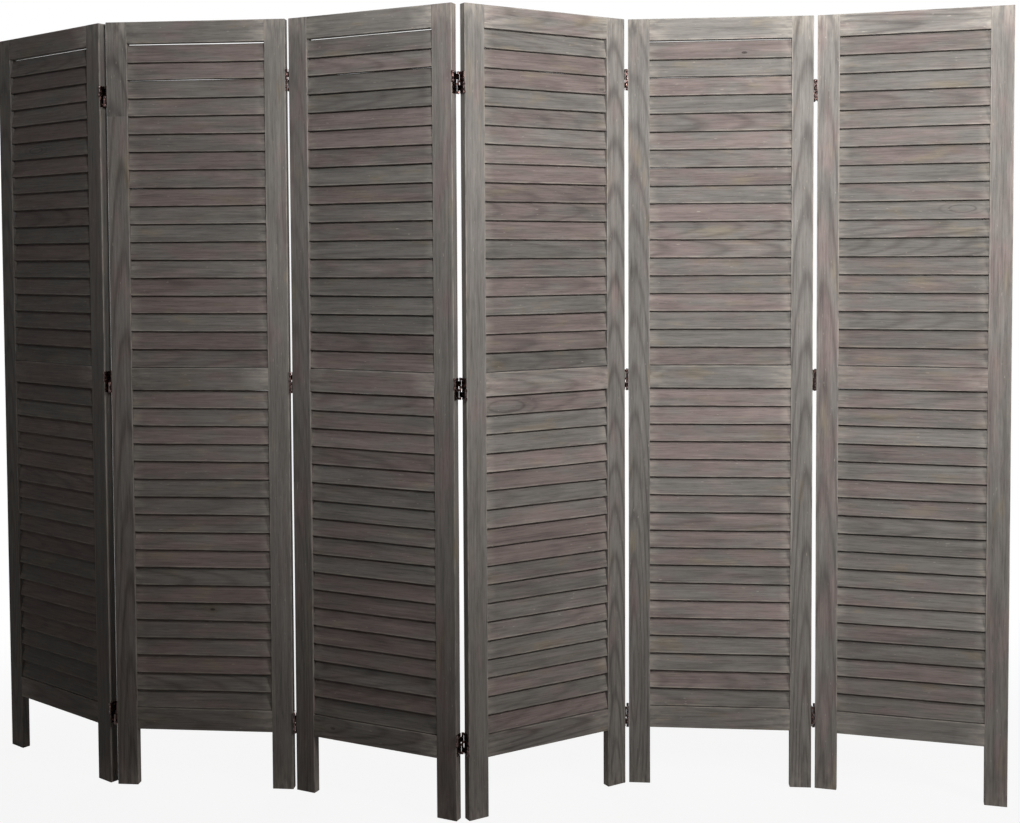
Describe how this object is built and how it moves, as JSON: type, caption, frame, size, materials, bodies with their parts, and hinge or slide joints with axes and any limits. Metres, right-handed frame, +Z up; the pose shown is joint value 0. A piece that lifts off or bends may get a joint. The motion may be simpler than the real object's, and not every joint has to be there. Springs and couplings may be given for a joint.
{
  "type": "folding louvred room divider",
  "caption": "Free-standing folding screen of louvred wooden panels in a zigzag row, joined by double-action hinges.",
  "frame": {"origin": "on the floor, at the middle of the standing screen's box in plan", "axes": "+X along the row of panels, left to right from the front; +Y from the front to the back; +Z up"},
  "size_m": [2.2798, 0.4931, 1.7],
  "materials": {
    "wood": "weathered grey wash, matt, with grain and knots",
    "hinge_metal": "dark antique bronze plating, satin"
  },
  "bodies": {
    "panel_1": {"panel_1_left_stile_and_slats": "wood", "panel_1_right_stile": "wood", "panel_1_top_rail": "wood", "panel_1_middle_rail": "wood", "panel_1_bottom_rail": "wood", "fold_1_upper_hinge_left_leaf": "hinge_metal", "fold_1_middle_hinge_left_leaf": "hinge_metal", "fold_1_lower_hinge_left_leaf": "hinge_metal"},
    "panel_2": {"panel_2_left_stile_and_slats": "wood", "panel_2_right_stile": "wood", "panel_2_top_rail": "wood", "panel_2_middle_rail": "wood", "panel_2_bottom_rail": "wood", "fold_1_upper_hinge_right_leaf": "hinge_metal", "fold_1_middle_hinge_right_leaf": "hinge_metal", "fold_1_lower_hinge_right_leaf": "hinge_metal", "fold_2_upper_hinge_left_leaf": "hinge_metal", "fold_2_middle_hinge_left_leaf": "hinge_metal", "fold_2_lower_hinge_left_leaf": "hinge_metal"},
    "panel_3": {"panel_3_left_stile_and_slats": "wood", "panel_3_right_stile": "wood", "panel_3_top_rail": "wood", "panel_3_middle_rail": "wood", "panel_3_bottom_rail": "wood", "fold_2_upper_hinge_right_leaf": "hinge_metal", "fold_2_middle_hinge_right_leaf": "hinge_metal", "fold_2_lower_hinge_right_leaf": "hinge_metal", "fold_3_upper_hinge_left_leaf": "hinge_metal", "fold_3_middle_hinge_left_leaf": "hinge_metal", "fold_3_lower_hinge_left_leaf": "hinge_metal"},
    "panel_4": {"panel_4_left_stile_and_slats": "wood", "panel_4_right_stile": "wood", "panel_4_top_rail": "wood", "panel_4_middle_rail": "wood", "panel_4_bottom_rail": "wood", "fold_3_upper_hinge_right_leaf": "hinge_metal", "fold_3_middle_hinge_right_leaf": "hinge_metal", "fold_3_lower_hinge_right_leaf": "hinge_metal", "fold_4_upper_hinge_left_leaf": "hinge_metal", "fold_4_middle_hinge_left_leaf": "hinge_metal", "fold_4_lower_hinge_left_leaf": "hinge_metal"},
    "panel_5": {"panel_5_left_stile_and_slats": "wood", "panel_5_right_stile": "wood", "panel_5_top_rail": "wood", "panel_5_middle_rail": "wood", "panel_5_bottom_rail": "wood", "fold_4_upper_hinge_right_leaf": "hinge_metal", "fold_4_middle_hinge_right_leaf": "hinge_metal", "fold_4_lower_hinge_right_leaf": "hinge_metal", "fold_5_upper_hinge_left_leaf": "hinge_metal", "fold_5_middle_hinge_left_leaf": "hinge_metal", "fold_5_lower_hinge_left_leaf": "hinge_metal"},
    "panel_6": {"panel_6_left_stile_and_slats": "wood", "panel_6_right_stile": "wood", "panel_6_top_rail": "wood", "panel_6_middle_rail": "wood", "panel_6_bottom_rail": "wood", "fold_5_upper_hinge_right_leaf": "hinge_metal", "fold_5_middle_hinge_right_leaf": "hinge_metal", "fold_5_lower_hinge_right_leaf": "hinge_metal"}
  },
  "joints": [
    {"name": "fold_1", "type": "hinge", "parent": "panel_2", "child": "panel_1", "pos_m": [-0.80993, -0.00449, 0], "axis": [0, 0, -1], "range_deg": [-33.4, 144.6]},
    {"name": "fold_2", "type": "hinge", "parent": "panel_3", "child": "panel_2", "pos_m": [-0.40431, -0.0647, 0], "axis": [0, 0, 1], "range_deg": [-20.8, 157.2]},
    {"name": "fold_3", "type": "hinge", "parent": "panel_3", "child": "panel_4", "pos_m": [-0.02618, -0.22332, 0], "axis": [0, 0, 1], "range_deg": [-56.9, 121.1]},
    {"name": "fold_4", "type": "hinge", "parent": "panel_4", "child": "panel_5", "pos_m": [0.33703, -0.03299, 0], "axis": [0, 0, -1], "range_deg": [-36.2, 141.8]},
    {"name": "fold_5", "type": "hinge", "parent": "panel_5", "child": "panel_6", "pos_m": [0.74468, -0.0708, 0], "axis": [0, 0, 1], "range_deg": [-167.1, 10.9]}
  ]
}
